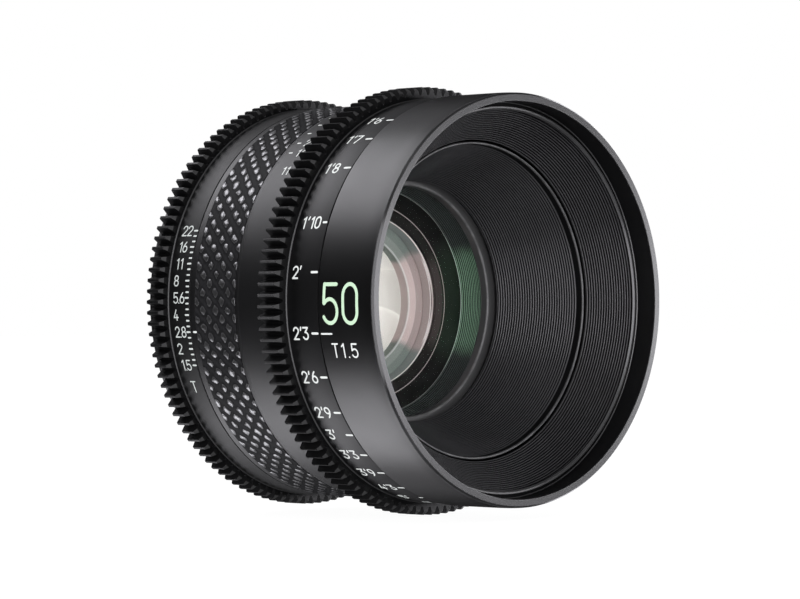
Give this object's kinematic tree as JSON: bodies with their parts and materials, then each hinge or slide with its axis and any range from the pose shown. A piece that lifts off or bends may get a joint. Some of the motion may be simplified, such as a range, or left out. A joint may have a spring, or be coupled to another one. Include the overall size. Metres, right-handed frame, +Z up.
{
  "type": "cinema prime lens",
  "caption": "Cinema prime lens with geared focus and aperture rings, woven carbon sleeve, ribbed front hood, moving optics, working iris blades and a four-lug rear mount.",
  "frame": {"origin": "centre of the rear mount's seat, on the optical axis", "axes": "+Z up with the scales' index marks on the -X side, +Y along the optical axis towards the camera, the front of the lens towards -Y"},
  "size_m": [0.1, 0.0962, 0.1],
  "materials": {
    "black_anodised": "satin black anodised",
    "matte_black": "matte black, ribbed",
    "carbon_weave": "woven carbon fibre under clear resin",
    "bare_aluminium": "fine turned",
    "screw_steel": "machined",
    "mount_steel": "fine turned stainless",
    "brass": "machined",
    "optical_glass": "coated, polished",
    "blade_steel": "thin rolled steel"
  },
  "bodies": {
    "body": {"front_barrel": "black_anodised", "baffle_retainer": "black_anodised", "front_baffle": "matte_black", "guide_barrel": "bare_aluminium", "front_barrel_screws": "screw_steel", "middle_barrel": "black_anodised", "carbon_sleeve": "carbon_weave", "rear_barrel": "black_anodised", "barrel_screws": "screw_steel", "rear_cap_ring": "black_anodised", "rear_cap_screws": "screw_steel", "mount_shim": "brass", "lens_mount": "mount_steel", "mount_screws": "screw_steel", "focus_stop_screw": "screw_steel", "iris_stop_screw": "screw_steel"},
    "focus": {"focus_ring": "black_anodised", "focus_scale_ring": "black_anodised", "focus_gear": "black_anodised", "focus_cam_sleeve": "bare_aluminium", "focus_drive_screws": "screw_steel"},
    "optics": {"focus_carriage": "bare_aluminium", "cam_followers": "brass", "front_cell": "black_anodised", "front_cell_screws": "screw_steel", "inner_baffle": "matte_black", "front_retainer": "black_anodised", "lens_1": "optical_glass", "lens_spacer_front": "matte_black", "lens_2": "optical_glass", "lens_3": "optical_glass", "iris_housing": "black_anodised", "iris_housing_screws": "screw_steel", "rear_cell": "black_anodised", "rear_cell_screws": "screw_steel", "lens_4": "optical_glass", "lens_5": "optical_glass", "lens_spacer_rear": "matte_black", "lens_6": "optical_glass", "lens_7": "optical_glass", "rear_retainer": "black_anodised"},
    "aperture_ring": {"iris_ring": "black_anodised", "iris_gear": "black_anodised", "iris_drive_pin": "brass"},
    "aperture_cam": {"iris_cam_ring": "bare_aluminium"},
    "iris_blade_01": {"iris_blade_01": "blade_steel"},
    "iris_blade_02": {"iris_blade_02": "blade_steel"},
    "iris_blade_03": {"iris_blade_03": "blade_steel"},
    "iris_blade_04": {"iris_blade_04": "blade_steel"},
    "iris_blade_05": {"iris_blade_05": "blade_steel"},
    "iris_blade_06": {"iris_blade_06": "blade_steel"},
    "iris_blade_07": {"iris_blade_07": "blade_steel"},
    "iris_blade_08": {"iris_blade_08": "blade_steel"},
    "iris_blade_09": {"iris_blade_09": "blade_steel"},
    "iris_blade_10": {"iris_blade_10": "blade_steel"},
    "iris_blade_11": {"iris_blade_11": "blade_steel"}
  },
  "joints": [
    {"name": "focus_turn", "type": "hinge", "parent": "body", "child": "focus", "pos_m": [0, -0.0617, 0], "axis": [0, -1, 0], "range_deg": [-121, 79]},
    {"name": "optics_slide", "type": "slide", "parent": "body", "child": "optics", "axis": [0, -1, 0], "range_m": [-0.0043, 0.0028]},
    {"name": "aperture_turn", "type": "hinge", "parent": "body", "child": "aperture_ring", "pos_m": [0, -0.0194, 0], "axis": [0, -1, 0], "range_deg": [-10.1, 30.7]},
    {"name": "aperture_cam_turn", "type": "hinge", "parent": "optics", "child": "aperture_cam", "pos_m": [0, -0.02325, 0], "axis": [0, -1, 0], "range_deg": [-10.1, 30.7]},
    {"name": "iris_blade_01_turn", "type": "hinge", "parent": "optics", "child": "iris_blade_01", "pos_m": [0.025, -0.02845, 0], "axis": [-0.1093, -0.994, 0], "range_deg": [-6.88, 20.92]},
    {"name": "iris_blade_02_turn", "type": "hinge", "parent": "optics", "child": "iris_blade_02", "pos_m": [0.02103, -0.02845, 0.01352], "axis": [-0.092, -0.994, -0.0591], "range_deg": [-6.88, 20.92]},
    {"name": "iris_blade_03_turn", "type": "hinge", "parent": "optics", "child": "iris_blade_03", "pos_m": [0.01039, -0.02845, 0.02274], "axis": [-0.0454, -0.994, -0.0995], "range_deg": [-6.88, 20.92]},
    {"name": "iris_blade_04_turn", "type": "hinge", "parent": "optics", "child": "iris_blade_04", "pos_m": [-0.00356, -0.02845, 0.02475], "axis": [0.0156, -0.994, -0.1082], "range_deg": [-6.88, 20.92]},
    {"name": "iris_blade_05_turn", "type": "hinge", "parent": "optics", "child": "iris_blade_05", "pos_m": [-0.01637, -0.02845, 0.01889], "axis": [0.0716, -0.994, -0.0826], "range_deg": [-6.88, 20.92]},
    {"name": "iris_blade_06_turn", "type": "hinge", "parent": "optics", "child": "iris_blade_06", "pos_m": [-0.02399, -0.02845, 0.00704], "axis": [0.1049, -0.994, -0.0308], "range_deg": [-6.88, 20.92]},
    {"name": "iris_blade_07_turn", "type": "hinge", "parent": "optics", "child": "iris_blade_07", "pos_m": [-0.02399, -0.02845, -0.00704], "axis": [0.1049, -0.994, 0.0308], "range_deg": [-6.88, 20.92]},
    {"name": "iris_blade_08_turn", "type": "hinge", "parent": "optics", "child": "iris_blade_08", "pos_m": [-0.01637, -0.02845, -0.01889], "axis": [0.0716, -0.994, 0.0826], "range_deg": [-6.88, 20.92]},
    {"name": "iris_blade_09_turn", "type": "hinge", "parent": "optics", "child": "iris_blade_09", "pos_m": [-0.00356, -0.02845, -0.02475], "axis": [0.0156, -0.994, 0.1082], "range_deg": [-6.88, 20.92]},
    {"name": "iris_blade_10_turn", "type": "hinge", "parent": "optics", "child": "iris_blade_10", "pos_m": [0.01039, -0.02845, -0.02274], "axis": [-0.0454, -0.994, 0.0995], "range_deg": [-6.88, 20.92]},
    {"name": "iris_blade_11_turn", "type": "hinge", "parent": "optics", "child": "iris_blade_11", "pos_m": [0.02103, -0.02845, -0.01352], "axis": [-0.092, -0.994, 0.0591], "range_deg": [-6.88, 20.92]}
  ],
  "couplings": [
    {"joint": "optics_slide", "follows": "focus_turn", "m_per_rad": 0.002034},
    {"joint": "aperture_cam_turn", "follows": "aperture_turn", "ratio": 1},
    {"joint": "iris_blade_01_turn", "follows": "aperture_turn", "ratio": 0.68137},
    {"joint": "iris_blade_02_turn", "follows": "aperture_turn", "ratio": 0.68137},
    {"joint": "iris_blade_03_turn", "follows": "aperture_turn", "ratio": 0.68137},
    {"joint": "iris_blade_04_turn", "follows": "aperture_turn", "ratio": 0.68137},
    {"joint": "iris_blade_05_turn", "follows": "aperture_turn", "ratio": 0.68137},
    {"joint": "iris_blade_06_turn", "follows": "aperture_turn", "ratio": 0.68137},
    {"joint": "iris_blade_07_turn", "follows": "aperture_turn", "ratio": 0.68137},
    {"joint": "iris_blade_08_turn", "follows": "aperture_turn", "ratio": 0.68137},
    {"joint": "iris_blade_09_turn", "follows": "aperture_turn", "ratio": 0.68137},
    {"joint": "iris_blade_10_turn", "follows": "aperture_turn", "ratio": 0.68137},
    {"joint": "iris_blade_11_turn", "follows": "aperture_turn", "ratio": 0.68137}
  ]
}
